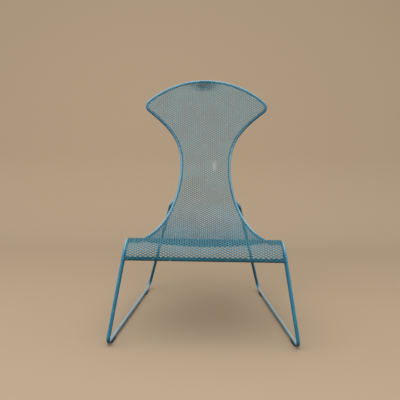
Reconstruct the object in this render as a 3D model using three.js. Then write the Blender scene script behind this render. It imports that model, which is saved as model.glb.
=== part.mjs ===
// A low lounge chair of bent steel rod with one shell of expanded-metal mesh.
// Millimetres, +Z up, the sitter faces -Y. Left and right are as seen from the front.
import * as THREE from "three";

// Stock: the rods and the mesh sheet
const ROD_DIAMETER = 12;
const BAR_DIAMETER = 12;
const MESH_THICKNESS = 2;
// Clear gap left at the welds and seats
const WELD_GAP = 0.3;
// How far the sheet's edge stays inside the rods' centre line
const MESH_EDGE_INSET = 1;

// Side view of the shell: apron, seat and back
const FRONT_EDGE_HEIGHT = 340;
const FRONT_BEND_RADIUS = 45;
const SEAT_SLOPE = 13;
const SEAT_DEPTH = 412;
const SEAT_BEND_RADIUS = 200;
const BACK_RECLINE = 18.3;
const BACK_LENGTH = 694;
const SEAT_SAG = 28;

// Outline of the shell, half-widths to the rod's centre and distances along the sheet
const CREST_RADIUS = 355;
const EAR_RADIUS = 26;
const EAR_HALF_WIDTH = 249;
const EAR_TURN = 51;
const NECK_EAR_REACH = 128;
const NECK_WAIST_REACH = 106;
const WAIST_HALF_WIDTH = 97;
const WAIST_BELOW_CREST = 375;
const FLARE_WAIST_REACH = 210;
const FLARE_RAIL_REACH = 60;
const RAIL_BELOW_CREST = 788;
const SEAT_HALF_WIDTH = 246;

// Legs, runners and front bar
const LEG_SPLAY = 10.5;
const FLOOR_BEND_RADIUS = 28;
const RUNNER_DEPTH = 658;
const REAR_HALF_WIDTH = 246;
const LEG_TOP_BELOW_CREST = 533;
const LEG_TUCK = 75;
const BAR_HEIGHT = 291;
const MESH_LAP = 4;

// Glides under the runners
const GLIDE_LENGTH = 48;
const GLIDE_WIDTH = 12;
const GLIDE_RISE = 4;
const GLIDE_LIP = 6;
const GLIDE_BEND_SPACE = 6;

// Fineness of the meshes: outline steps are for crest, ear, neck, flare, rail, front bend and apron
const OUTLINE_STEPS = [14, 8, 16, 22, 10, 8, 2];
const FLOOR_BEND_STEPS = 7;
const ROD_SIDES = 10;
const BAR_SIDES = 16;
const SHELL_COLUMNS = 12;
const GROOVE_SEGMENTS = 8;
const CREST_ROW_HALF_WIDTH = 4;
const HALVINGS = 40;

const PAINT = { color: "#447fa2", roughness: 0.55, metalness: 0.1 };
const RUBBER = { color: "#161616", roughness: 0.8, metalness: 0 };

const rad = THREE.MathUtils.degToRad;
const rodRadius = ROD_DIAMETER / 2;
const barRadius = BAR_DIAMETER / 2;
const floorLine = GLIDE_RISE + rodRadius;
const splay = Math.tan(rad(LEG_SPLAY));

// Side view of the rods' surface as (y, z), from the apron's lower edge to the crest
function sideProfile() {
  const slope = rad(SEAT_SLOPE);
  const recline = rad(BACK_RECLINE);
  const frontCentre = new THREE.Vector2(FRONT_BEND_RADIUS, FRONT_EDGE_HEIGHT - FRONT_BEND_RADIUS);
  const seatUp = new THREE.Vector2(Math.sin(slope), Math.cos(slope));
  const seatBack = new THREE.Vector2(Math.cos(slope), -Math.sin(slope));
  const backUp = new THREE.Vector2(Math.sin(recline), Math.cos(recline));
  const seatStart = frontCentre.clone().addScaledVector(seatUp, FRONT_BEND_RADIUS);
  const toCorner = (SEAT_DEPTH - seatStart.x) / seatBack.x;
  const corner = seatStart.clone().addScaledVector(seatBack, toCorner);
  const turn = Math.PI / 2 + slope - recline;
  const trim = SEAT_BEND_RADIUS * Math.tan(turn / 2);
  const seatEnd = corner.clone().addScaledVector(seatBack, -trim);
  const bendCentre = seatEnd.clone().addScaledVector(seatUp, SEAT_BEND_RADIUS);
  const backStart = corner.clone().addScaledVector(backUp, trim);
  const crest = corner.clone().addScaledVector(backUp, BACK_LENGTH);
  const apronFoot = new THREE.Vector2(0, BAR_HEIGHT - MESH_LAP);
  const apronTop = new THREE.Vector2(0, frontCentre.y);
  const profile = new THREE.CurvePath();
  profile.add(new THREE.LineCurve(apronFoot, apronTop));
  profile.add(arc(frontCentre, FRONT_BEND_RADIUS, Math.PI, Math.PI / 2 - slope, true));
  profile.add(new THREE.LineCurve(seatStart, seatEnd));
  profile.add(arc(bendCentre, SEAT_BEND_RADIUS, -Math.PI / 2 - slope, -recline, false));
  profile.add(new THREE.LineCurve(backStart, crest));
  return profile;
}

// Curves end to end, each cut into its own number of steps, so that tight bends get more of them
class SteppedPath extends THREE.Curve {
  constructor(curves, steps) {
    super();
    this.curves = curves;
    this.steps = steps;
    this.total = steps.reduce((sum, count) => sum + count, 0);
  }
  getPoint(t) {
    let left = t * this.total;
    let i = 0;
    while (i < this.curves.length - 1 && left > this.steps[i]) {
      left -= this.steps[i];
      i += 1;
    }
    return this.curves[i].getPointAt(Math.min(left / this.steps[i], 1));
  }
  // The steps stay as they are, and aren't evened out by length
  getUtoTmapping(u) {
    return u;
  }
}

function arc(centre, radius, from, to, clockwise) {
  return new THREE.EllipseCurve(centre.x, centre.y, radius, radius, from, to, clockwise);
}

const profile = sideProfile();
const profileLength = profile.getLength();
const [apronLength, frontBendLength] = profile.curves.map((curve) => curve.getLength());

// Right half of the rod's outline on the flat sheet: x is the half-width, y is minus the distance below the crest
function flatOutline() {
  const earX = EAR_HALF_WIDTH - EAR_RADIUS;
  const earY = Math.sqrt((CREST_RADIUS - EAR_RADIUS) ** 2 - earX ** 2) - CREST_RADIUS;
  const crestStart = Math.acos(WELD_GAP / 2 / CREST_RADIUS);
  const crestEnd = Math.atan2(earY + CREST_RADIUS, earX);
  const earEnd = -rad(EAR_TURN);
  const crest = arc(new THREE.Vector2(0, -CREST_RADIUS), CREST_RADIUS, crestStart, crestEnd, true);
  const ear = arc(new THREE.Vector2(earX, earY), EAR_RADIUS, crestEnd, earEnd, true);
  const neckStart = ear.getPoint(1);
  const neckPull = neckStart.clone().addScaledVector(ear.getTangent(1), NECK_EAR_REACH);
  const waist = new THREE.Vector2(WAIST_HALF_WIDTH, -WAIST_BELOW_CREST);
  const waistAbove = new THREE.Vector2(waist.x, waist.y + NECK_WAIST_REACH);
  const waistBelow = new THREE.Vector2(waist.x, waist.y - FLARE_WAIST_REACH);
  const railTop = new THREE.Vector2(SEAT_HALF_WIDTH, -RAIL_BELOW_CREST);
  const railPull = new THREE.Vector2(railTop.x, railTop.y + FLARE_RAIL_REACH);
  const bendFoot = apronLength - profileLength;
  const bendTop = new THREE.Vector2(SEAT_HALF_WIDTH, bendFoot + frontBendLength);
  const bendPull = new THREE.Vector2(SEAT_HALF_WIDTH, bendFoot + frontBendLength / 2);
  const bendEnd = new THREE.Vector2(SEAT_HALF_WIDTH + (splay * frontBendLength) / 2, bendFoot);
  const apronEnd = new THREE.Vector2(bendEnd.x + splay * apronLength, -profileLength);
  const neck = new THREE.CubicBezierCurve(neckStart, neckPull, waistAbove, waist);
  const flare = new THREE.CubicBezierCurve(waist, waistBelow, railPull, railTop);
  const rail = new THREE.LineCurve(railTop, bendTop);
  const frontBend = new THREE.QuadraticBezierCurve(bendTop, bendPull, bendEnd);
  const apron = new THREE.LineCurve(bendEnd, apronEnd);
  return new SteppedPath([crest, ear, neck, flare, rail, frontBend, apron], OUTLINE_STEPS);
}

const outline = flatOutline();
const apronEnd = outline.getPoint(1);

// The way the sheet faces, towards the sitter, at a share of the profile
function facing(share) {
  const along = profile.getTangent(share);
  return new THREE.Vector3(0, -along.y, along.x);
}

// Place on the rods' surface of a point of the flat sheet, lifted towards the sitter
function onShell(x, flatY, lift = 0) {
  const share = THREE.MathUtils.clamp(1 + flatY / profileLength, 0, 1);
  const p = profile.getPoint(share);
  return new THREE.Vector3(x, p.x, p.y).addScaledVector(facing(share), lift);
}

// Share of the rod's outline at a distance below the crest, by halving
function outlineShare(distance) {
  let low = 0;
  let high = 1;
  for (let i = 0; i < HALVINGS; i++) {
    const middle = (low + high) / 2;
    if (-outline.getPoint(middle).y < distance) low = middle;
    else high = middle;
  }
  return low;
}

// The rod's centre line along the shell's edge, from the crest to the apron's foot
class RimCurve extends SteppedPath {
  constructor(side) {
    super(outline.curves, outline.steps);
    this.side = side;
  }
  getPoint(t) {
    const p = super.getPoint(t);
    return onShell(this.side * p.x, p.y);
  }
}

// A round bend between two straight runs that meet at a corner
class BendCurve extends THREE.Curve {
  constructor(before, corner, after, radius) {
    super();
    const back = before.clone().sub(corner).normalize();
    const ahead = after.clone().sub(corner).normalize();
    const half = back.angleTo(ahead) / 2;
    const middle = back.clone().add(ahead).normalize();
    this.radius = radius;
    this.turn = Math.PI - 2 * half;
    this.start = corner.clone().addScaledVector(back, radius / Math.tan(half));
    this.end = corner.clone().addScaledVector(ahead, radius / Math.tan(half));
    this.centre = corner.clone().addScaledVector(middle, radius / Math.sin(half));
    this.out = this.start.clone().sub(this.centre).normalize();
    this.forward = back.clone().negate();
  }
  getPoint(t) {
    const angle = t * this.turn;
    return this.centre
      .clone()
      .addScaledVector(this.out, this.radius * Math.cos(angle))
      .addScaledVector(this.forward, this.radius * Math.sin(angle));
  }
}

// Corners of one side's leg and runner. The rear leg's top lies beside the rim and a little behind it.
function legCorners(side) {
  const apronFoot = onShell(side * apronEnd.x, apronEnd.y);
  const footX = apronEnd.x + splay * (apronFoot.z - floorLine);
  const share = outlineShare(LEG_TOP_BELOW_CREST);
  const edge = outline.getPoint(share);
  const along = outline.getTangent(share);
  const reach = ROD_DIAMETER + WELD_GAP;
  const beside = reach * Math.sin(rad(LEG_TUCK));
  const behind = reach * Math.cos(rad(LEG_TUCK));
  const legTop = onShell(side * (edge.x - beside * along.y), edge.y + beside * along.x, -behind);
  const foot = new THREE.Vector3(side * footX, 0, floorLine);
  const rear = new THREE.Vector3(side * REAR_HALF_WIDTH, RUNNER_DEPTH, floorLine);
  return { apronFoot, foot, rear, legTop };
}

// One side's whole rod: rim, front leg, runner and rear leg
function framePath(side) {
  const { apronFoot, foot, rear, legTop } = legCorners(side);
  const frontBend = new BendCurve(apronFoot, foot, rear, FLOOR_BEND_RADIUS);
  const rearBend = new BendCurve(foot, rear, legTop, FLOOR_BEND_RADIUS);
  const frontLeg = new THREE.LineCurve3(apronFoot, frontBend.start);
  const runner = new THREE.LineCurve3(frontBend.end, rearBend.start);
  const rearLeg = new THREE.LineCurve3(rearBend.end, legTop);
  const curves = [new RimCurve(side), frontLeg, frontBend, runner, rearBend, rearLeg];
  const steps = [outline.total, 1, FLOOR_BEND_STEPS, 1, FLOOR_BEND_STEPS, 1];
  return new SteppedPath(curves, steps);
}

function piece(name, geometry, finish) {
  const mesh = new THREE.Mesh(geometry, new THREE.MeshStandardMaterial(finish));
  mesh.name = name;
  return mesh;
}

function rodSection() {
  const corners = [];
  for (let i = 0; i < ROD_SIDES; i++) {
    const angle = (2 * Math.PI * i) / ROD_SIDES;
    corners.push(new THREE.Vector2(rodRadius * Math.cos(angle), rodRadius * Math.sin(angle)));
  }
  return new THREE.Shape(corners);
}

function frameRod(name, side) {
  const path = framePath(side);
  const options = { steps: path.total, bevelEnabled: false, extrudePath: path };
  return piece(name, new THREE.ExtrudeGeometry(rodSection(), options), PAINT);
}

// How far the seat's mesh hangs below the line between its rails
function sagAt(flatY, across) {
  const from = -WAIST_BELOW_CREST;
  const to = apronLength + frontBendLength - profileLength;
  const share = THREE.MathUtils.clamp((flatY - from) / (to - from), 0, 1);
  return SEAT_SAG * Math.sin(Math.PI * share) ** 2 * (1 - across ** 2);
}

// The sheet: a subdivided slab whose rows run from the apron to the crest, laid on the rods from the sitter's side
function meshShell() {
  const slab = new THREE.BoxGeometry(2, 1, MESH_THICKNESS, SHELL_COLUMNS, outline.total, 1);
  const overRods = rodRadius + WELD_GAP + MESH_THICKNESS / 2;
  const crestStep = outline.curves[0].getLength() / outline.steps[0];
  const crestShare = CREST_ROW_HALF_WIDTH / crestStep / outline.total;
  const places = slab.getAttribute("position");
  for (let i = 0; i < places.count; i++) {
    const across = places.getX(i);
    const share = Math.max(0.5 - places.getY(i), crestShare);
    const edge = outline.getPoint(share);
    const along = outline.getTangent(share);
    const halfWidth = edge.x + MESH_EDGE_INSET * along.y;
    const flatY = edge.y - MESH_EDGE_INSET * along.x;
    const lift = overRods + places.getZ(i) - sagAt(flatY, across);
    const p = onShell(across * halfWidth, flatY, lift);
    places.setXYZ(i, p.x, p.y, p.z);
  }
  return piece("mesh_shell", slab, PAINT);
}

// The bar lies behind the apron, its front in line with the legs', and butts against both of them
function frontBar() {
  const legX = apronEnd.x - splay * (MESH_LAP + barRadius);
  const halfLength = legX - rodRadius / Math.cos(rad(LEG_SPLAY)) - WELD_GAP;
  const rod = new THREE.CylinderGeometry(barRadius, barRadius, 2 * halfLength, BAR_SIDES);
  const bar = piece("front_bar", rod, PAINT);
  bar.rotation.z = Math.PI / 2;
  bar.position.set(0, barRadius - rodRadius, BAR_HEIGHT);
  return bar;
}

// Section of a glide: a flat foot with a groove that cradles the runner
function glideSection() {
  const grooveRadius = rodRadius + WELD_GAP;
  const drop = floorLine - GLIDE_LIP;
  const grooveHalf = Math.sqrt(grooveRadius ** 2 - drop ** 2);
  const angle = Math.atan2(drop, grooveHalf);
  const section = new THREE.Shape();
  section.moveTo(-GLIDE_WIDTH / 2, 0);
  section.lineTo(GLIDE_WIDTH / 2, 0);
  section.lineTo(GLIDE_WIDTH / 2, GLIDE_LIP);
  section.lineTo(grooveHalf, GLIDE_LIP);
  section.absarc(0, floorLine, grooveRadius, -angle, angle - Math.PI, true);
  section.lineTo(-GLIDE_WIDTH / 2, GLIDE_LIP);
  return section;
}

// A glide on one side's runner, close to the bend at its front or rear end
function glide(name, side, atRear) {
  const { apronFoot, foot, rear, legTop } = legCorners(side);
  const bend = atRear
    ? new BendCurve(foot, rear, legTop, FLOOR_BEND_RADIUS)
    : new BendCurve(apronFoot, foot, rear, FLOOR_BEND_RADIUS);
  const runnerEnd = atRear ? bend.start : bend.end;
  const inward = (atRear ? foot : rear).clone().sub(atRear ? rear : foot).normalize();
  const place = runnerEnd.clone().addScaledVector(inward, GLIDE_BEND_SPACE + GLIDE_LENGTH / 2);
  const options = { depth: GLIDE_LENGTH, bevelEnabled: false, curveSegments: GROOVE_SEGMENTS };
  const block = new THREE.ExtrudeGeometry(glideSection(), options);
  block.translate(0, 0, -GLIDE_LENGTH / 2);
  block.rotateX(Math.PI / 2);
  const mesh = piece(name, block, RUBBER);
  mesh.position.set(place.x, place.y, 0);
  mesh.rotation.z = Math.atan2(foot.x - rear.x, rear.y - foot.y);
  return mesh;
}

function chair() {
  const group = new THREE.Group();
  group.name = "mesh_lounge_chair";
  group.add(meshShell());
  group.add(frontBar());
  for (const [hand, side] of [["left", -1], ["right", 1]]) {
    group.add(frameRod(`${hand}_frame_rod`, side));
    group.add(glide(`front_${hand}_glide`, side, false));
    group.add(glide(`rear_${hand}_glide`, side, true));
  }
  // The origin is on the floor, under the middle of the chair's box
  const middle = new THREE.Box3().setFromObject(group).getCenter(new THREE.Vector3());
  group.position.set(-middle.x, -middle.y, 0);
  return group;
}

export default chair();
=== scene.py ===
"""Looks of a weathered lounge chair of bent rod and expanded-metal mesh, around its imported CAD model."""

import math
from bisect import bisect
from functools import partial

import bpy
from bpy.props import FloatProperty, FloatVectorProperty, IntProperty, PointerProperty
from mathutils import Euler, Matrix, Vector


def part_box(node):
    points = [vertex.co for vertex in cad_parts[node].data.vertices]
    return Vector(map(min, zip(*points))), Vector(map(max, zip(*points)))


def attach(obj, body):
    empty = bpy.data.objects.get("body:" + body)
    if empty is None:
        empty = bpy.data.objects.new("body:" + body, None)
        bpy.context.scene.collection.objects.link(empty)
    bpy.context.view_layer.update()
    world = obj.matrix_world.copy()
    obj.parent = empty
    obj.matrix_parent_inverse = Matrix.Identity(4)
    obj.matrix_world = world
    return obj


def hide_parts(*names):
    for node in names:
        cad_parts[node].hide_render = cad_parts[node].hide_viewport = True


bl_info = {
    "name": "Expanded-metal lounge chair",
    "version": (1, 0, 0),
    "blender": (4, 5, 0),
    "location": "3D View > Sidebar > Chair",
    "description": "Makes a weathered lounge chair of bent steel rod and expanded-metal mesh",
    "category": "Add Mesh",
}

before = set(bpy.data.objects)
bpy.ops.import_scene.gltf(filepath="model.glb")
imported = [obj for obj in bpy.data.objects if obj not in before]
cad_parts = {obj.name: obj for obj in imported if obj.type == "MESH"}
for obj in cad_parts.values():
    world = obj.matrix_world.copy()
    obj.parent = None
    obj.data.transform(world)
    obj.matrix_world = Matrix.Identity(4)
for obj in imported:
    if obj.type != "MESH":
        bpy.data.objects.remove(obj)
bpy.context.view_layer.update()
BODY = "root"
PAINT_SLOT = "blue_paint"
RUBBER_SLOT = "black_rubber"
ROD_PAINT = "weathered enamel on steel rod"
MESH_PAINT = "weathered enamel on expanded steel"
IMAGE_PIXELS = 400
SIDES = {"left": -1, "right": 1}

# Fineness of the curves, in straight steps
BEND_STEPS = 72
OUTLINE_STEPS = 48
FLOOR_BEND_STEPS = 16
ROUND_STEPS = 6
BAR_STEPS = 24
LEG_STEPS = 40
WELD_STEPS = 24
# Stations along a glide, and how much of its section each of them has: the ends are rounded off
GLIDE_SHARES = (0.0, 0.03, 0.10, 0.5, 0.90, 0.97, 1.0)
GLIDE_TAPER = (0.80, 0.93, 1.0, 1.0, 1.0, 0.93, 0.80)

# A rear leg's tip ends this many points up the rim, and this share of the way out from it
TIP_UP = 2
TIP_SHARE = 0.25
# The crest's weld is ground down to this share of the rod's radius
CREST_WELD = 0.80
# Distances between rods that a weld fills, in thicknesses of the rod
WELD_REACH = (0.7, 1.15)
# Smallest and largest drop of a weld, as shares of the drop's size, the most a drop is turned, and the seed
DROP_SHARES = (0.75, 1.2)
DROP_TURN = 6.28
DROP_SEED = 5
# A rod's round end closes to this share of its thickness
END_SHARE = 0.05
# Points that are nearer than this are one point
SAME_POINT = 0.00002

# How far from the rim a rear leg still gets painted shade, in thicknesses of the rod, then the shares of
# painted shade on leg and bar, and the way to the bar's side with painted shade
LEG_SHADE_REACH = 1.8
LEG_SHADE = 0.35
BAR_SHADE = 0.6
BAR_SHADE_WAY = (0, -0.7, 0.7)
# The stain below the crest's middle and the pale smudge: places on the flat sheet, sizes and strengths
STAIN_MIDDLE = (-0.010, -0.019)
STAIN_SIZE = (0.075, 0.034, 0.040)
STAIN_SHARE = 1.0
SMUDGE_MIDDLE = (0.037, -0.372)
SMUDGE_SIZE = (0.013, 0.030, 0.028)
SMUDGE_SHARE = 0.30
# How ragged the edge of a mark is, and how far from its middle it starts and is full, in sizes of the mark
MARK_RAGGED = 1.2
MARK_EDGE = (1.6, 0.9)
# The same for the dirt that clogs the mesh under the stain
CLOG_RAGGED = 0.8
CLOG_EDGE = (1.4, 0.8)

# Sizes of the patterns in paint, dirt and rubber. Real grit and grain are finer than these, and are drawn
# coarser so that they show.
PATCH_SIZE = 0.070
BLOT_SIZE = 0.016
FLAKE_SIZE = 0.011
GRIT_SIZE = 0.0022
CLOG_SIZE = 0.012
DUST_SIZE = 0.003
GRAIN_SIZE = 0.0008
# Heights at which the paler paint for painted light sets in and goes again, and at which the ground's dust
# ends
PAINTED_LIGHT_HEIGHTS = (0.30, 0.42)
SHADE_HEIGHTS = (0.60, 0.74)
DUST_HEIGHTS = (0.06, 0.015)
# Shares of the paler paint that stands for painted light and of chalky paint, which is partly a painted
# highlight, how steeply a face looks down where the painted shade starts and where it is full, and how much
# further round a rod the painted shade reaches above the waist
ROD_WEATHER = {"painted_light_share": 0.65, "chalky": 0.75, "under": (0.15, -0.50), "reach": 0.35}
MESH_WEATHER = {"painted_light_share": 0.25, "chalky": 0.08, "under": (-0.35, -0.85), "reach": 0.0}

# The backdrop's reach, and in side view the bend behind the chair and the top of the slope above it
SWEEP_REACH = 30.0
SWEEP_BEND_CENTRE = (1.2, 1.0)
SWEEP_BEND_RADIUS = 1.0
SWEEP_BEND_END = math.radians(-25)
SWEEP_BEND_STEPS = 24
SWEEP_TOP = (4.6, 6.0)
KEY_SIZE = (4.0, 3.0)
KEY_PLACE = (-0.4, -1.4, 3.1)
KEY_AIM = (0, 0, 0.4)


# Properties: the sizes and colours that a user would change

def length(name, default, description):
    """A property that holds a length in metres."""
    return FloatProperty(name=name, description=description, default=default, unit="LENGTH", precision=4)


def angle(name, degrees, description):
    """A property that holds an angle, given here in degrees."""
    return FloatProperty(name=name, description=description, default=math.radians(degrees), subtype="ANGLE")


def linear(hex_colour):
    """A colour written as sRGB hex, as linear red, green and blue."""
    parts = [int(hex_colour[i:i + 2], 16) / 255 for i in (1, 3, 5)]
    return tuple(c / 12.92 if c <= 0.04045 else ((c + 0.055) / 1.055) ** 2.4 for c in parts)


def colour(name, hex_colour, description):
    """A property that holds a colour, given here as sRGB hex."""
    return FloatVectorProperty(
        name=name, description=description, default=linear(hex_colour), subtype="COLOR", min=0, max=1)


class ShellSizes(bpy.types.PropertyGroup):
    """Side view and outline of the mesh sheet, measured to the rim rod's centre line"""
    front_height: length("Front height", 0.340, "Height of the seat's front edge")
    front_radius: length("Front radius", 0.045, "Radius of the bend from the apron to the seat")
    apron_foot: length("Apron foot", 0.287, "Height of the apron's lower edge")
    seat_slope: angle("Seat slope", 13, "How far the seat slopes down to the rear")
    seat_depth: length("Seat depth", 0.412, "Depth from the apron to where seat and back would meet")
    seat_radius: length("Seat radius", 0.200, "Radius of the bend from the seat to the back")
    seat_sag: length("Seat sag", 0.028, "How far the mesh hangs below the top of its rails")
    back_recline: angle("Back recline", 18.3, "How far the back leans to the rear")
    back_length: length("Back length", 0.694, "Length of the back from where seat and back would meet")
    crest_radius: length("Crest radius", 0.355, "Radius of the crest's arch")
    ear_radius: length("Ear radius", 0.026, "Radius of the tight bends at the crest's ends")
    ear_half_width: length("Ear half-width", 0.249, "Half-width of the back at its ears")
    ear_turn: angle("Ear turn", 51, "How far the ear's bend goes on below the level")
    neck_ear_reach: length("Neck reach at ear", 0.128, "How far the neck keeps the ear's direction")
    neck_waist_reach: length("Neck reach at waist", 0.106, "How far the neck keeps the waist's direction")
    waist_half_width: length("Waist half-width", 0.097, "Half-width of the back at its waist")
    waist_below: length("Waist below the crest", 0.375, "Distance along the sheet from crest to waist")
    flare_waist_reach: length("Flare reach at waist", 0.210, "How far the flare keeps the waist's direction")
    flare_rail_reach: length("Flare reach at rail", 0.060, "How far the flare keeps the rail's direction")
    rail_below: length("Rail below the crest", 0.788, "Distance along the sheet from crest to seat rail")
    seat_half_width: length("Seat half-width", 0.246, "Half-width of the seat")


class FrameSizes(bpy.types.PropertyGroup):
    """Rods, legs, runners and welds"""
    rod_diameter: length("Rod diameter", 0.012, "Thickness of the frame's round rod")
    rod_sides: IntProperty(name="Rod sides", description="Flat sides of a rod's round", default=24, min=8)
    leg_splay: angle("Leg splay", 10.5, "How far the front legs lean outwards")
    floor_radius: length("Floor bend radius", 0.028, "Radius of the bends at the floor")
    runner_depth: length("Runner depth", 0.658, "Depth from the front legs to the rear corners at the floor")
    rear_half_width: length("Rear half-width", 0.246, "Half-width between the rear corners at the floor")
    leg_top_below: length("Leg top below the crest", 0.533, "Where the rear legs end on the rim")
    tip_radius: length("Tip radius", 0.014, "Radius of the bend that turns a rear leg's tip along the rim")
    leg_tuck: angle("Leg tuck", 75, "How far the leg's top lies beside the rim, and not behind it")
    bar_height: length("Bar height", 0.291, "Height of the front bar's middle")
    weld_gap: length("Weld gap", 0.0003, "Gap between welded rods")
    bead_size: length("Weld bead", 0.0019, "Radius of one drop of a weld")


class MeshSizes(bpy.types.PropertyGroup):
    """The expanded metal"""
    long_way: length("Long way", 0.016, "Length of a diamond, across the chair")
    short_way: length("Short way", 0.008, "Height of a diamond, along the sheet")
    strand: length("Strand width", 0.0028, "How far a strand reaches in from a diamond's long corner")
    gauge: length("Gauge", 0.0014, "Thickness of the sheet before it was slit")
    clog: FloatProperty(
        name="Clogging", description="How far dirt closes the openings under the stain",
        default=0.42, min=0, max=0.9)
    rise: length("Strand rise", 0.0007, "How far the slit and stretched strands stand out of the sheet")


class GlideSizes(bpy.types.PropertyGroup):
    """The moulded glides under the runners"""
    span: length("Glide length", 0.048, "Length of a glide along its runner")
    width: length("Glide width", 0.013, "Width of a glide's foot")
    rise: length("Glide rise", 0.004, "How far a glide holds its runner above the floor")
    wall: length("Glide wall", 0.0015, "Thickness of the lips")
    lip: length("Glide lip", 0.0082, "Height of the lips that clip round the runner")
    bend_space: length("Bend space", 0.006, "Distance from a glide to the bend beside it")


class ChairColours(bpy.types.PropertyGroup):
    """Paint, wear, painted light and shade, and rubber"""
    paint: colour("Paint", "#3091b7", "The blue paint where it is sound")
    paint_deep: colour("Deep paint", "#207fa3", "The blue paint where weather has not reached it")
    mesh_paint: colour("Mesh paint", "#1f738a", "The paint on the mesh, dulled by dirt")
    mesh_deep: colour("Deep mesh paint", "#186378", "The deeper patches of the mesh's paint")
    # Painted light: the bleached paints are paler paints that stand in for the stronger light above the seat
    bleached: colour("Bleached paint", "#78a1b1", "The rods' paint that the sun has bleached, above the seat")
    mesh_bleached: colour("Bleached mesh paint", "#859890", "The mesh's paint that sun and dust have greyed")
    # Partly real chalking and partly a painted highlight: paler paint on faces that look up
    chalk_and_highlight: colour("Chalk", "#a9c8d2", "The paint where sun and rain have turned its top chalky")
    # Painted shade on faces that look down and on the rods' side towards the mesh's seam
    shaded: colour("Shaded paint", "#08455d", "The paint under a rod, where dirt stays")
    # Painted shade on the bar under the apron and round the rear legs' tops under the rim
    soot: colour("Soot", "#083a50", "Dark dirt on the bar and round the rear legs' tops")
    stain: colour("Stain", "#06424f", "The dark stain below the crest's middle")
    smudge: colour("Smudge", "#d3dcd8", "A pale smear on the back")
    grime: colour("Grime", "#47565a", "Dirt that has settled in the paint")
    dust: colour("Dust", "#a79b88", "Dry dust from the ground")
    rust: colour("Rust", "#6d3f26", "Bare steel that has rusted where the paint came off")
    old_coat: colour("Old coat", "#8fb2bd", "The paler coat that shows round a chip")
    rubber: colour("Rubber", "#17181a", "The glides")


class StageSettings(bpy.types.PropertyGroup):
    """Camera, backdrop and lights"""
    backdrop: colour("Backdrop", "#a6937c", "Plain pale floor and backdrop")
    focal_pixels: FloatProperty(
        name="Focal length", description="In pixels of the square picture", default=494.3)
    camera: FloatVectorProperty(
        name="Camera", description="Place of the camera", default=(-0.0037, -1.8358, 0.6479),
        subtype="XYZ", unit="LENGTH")
    pitch: angle("Pitch", 6.354, "How far the camera looks down")
    yaw: angle("Yaw", -0.482, "How far the camera turns to the right")
    roll: angle("Roll", -0.826, "How far the picture turns clockwise")
    sky: FloatProperty(name="Sky", description="Strength of the light from all round", default=0.88)
    key: FloatProperty(
        name="Key", description="Power of the wide soft light above the front", default=92.0, unit="POWER")


class ChairSettings(bpy.types.PropertyGroup):
    """Everything that can be set on the chair"""
    shell: PointerProperty(type=ShellSizes)
    rods: PointerProperty(type=FrameSizes)
    mesh: PointerProperty(type=MeshSizes)
    glides: PointerProperty(type=GlideSizes)
    colours: PointerProperty(type=ChairColours)
    stage: PointerProperty(type=StageSettings)


# Shape of the sheet and the rods. The legs' plane is at y = 0 until a piece is put in place.

def steps(a, b, count):
    """Points from a to b in even steps, without the last one."""
    return [a + (b - a) * (i / count) for i in range(count)]


def arc(centre, radius, start, end, count):
    """Points of a flat arc between two angles."""
    turns = [start + (end - start) * i / count for i in range(count + 1)]
    return [centre + radius * Vector((math.cos(t), math.sin(t))) for t in turns]


def bezier(a, b, c, d, count):
    """Points of a cubic curve."""
    points = []
    for i in range(count + 1):
        t = i / count
        points.append(a * (1 - t) ** 3 + b * (3 * t * (1 - t) ** 2) + c * (3 * t * t * (1 - t)) + d * t ** 3)
    return points


def round_bend(before, corner, after, radius, count):
    """Points of a round bend between two straight runs that meet at a corner."""
    back = (before - corner).normalized()
    ahead = (after - corner).normalized()
    half = back.angle(ahead) / 2
    centre = corner + (back + ahead).normalized() * (radius / math.sin(half))
    out = (corner + back * (radius / math.tan(half)) - centre) / radius
    turns = [(math.pi - 2 * half) * i / count for i in range(count + 1)]
    return [centre + radius * (out * math.cos(t) - back * math.sin(t)) for t in turns]


def side_profile(shell):
    """Side view of the sheet as (y, z), from the apron's lower edge to the crest."""
    slope, recline = shell.seat_slope, shell.back_recline
    seat_up = Vector((math.sin(slope), math.cos(slope)))
    seat_back = Vector((math.cos(slope), -math.sin(slope)))
    back_up = Vector((math.sin(recline), math.cos(recline)))
    front_centre = Vector((shell.front_radius, shell.front_height - shell.front_radius))
    seat_start = front_centre + seat_up * shell.front_radius
    corner = seat_start + seat_back * ((shell.seat_depth - seat_start.x) / seat_back.x)
    trim = shell.seat_radius * math.tan((math.pi / 2 + slope - recline) / 2)
    bend_centre = corner - seat_back * trim + seat_up * shell.seat_radius
    points = [Vector((0, shell.apron_foot))]
    points += arc(front_centre, shell.front_radius, math.pi, math.pi / 2 - slope, BEND_STEPS)
    points += arc(bend_centre, shell.seat_radius, -math.pi / 2 - slope, -recline, BEND_STEPS)
    points.append(corner + back_up * shell.back_length)
    return points


def run_lengths(points):
    """The way along a line of points to each of them."""
    runs = [0.0]
    for a, b in zip(points, points[1:]):
        runs.append(runs[-1] + (b - a).length)
    return runs


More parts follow.
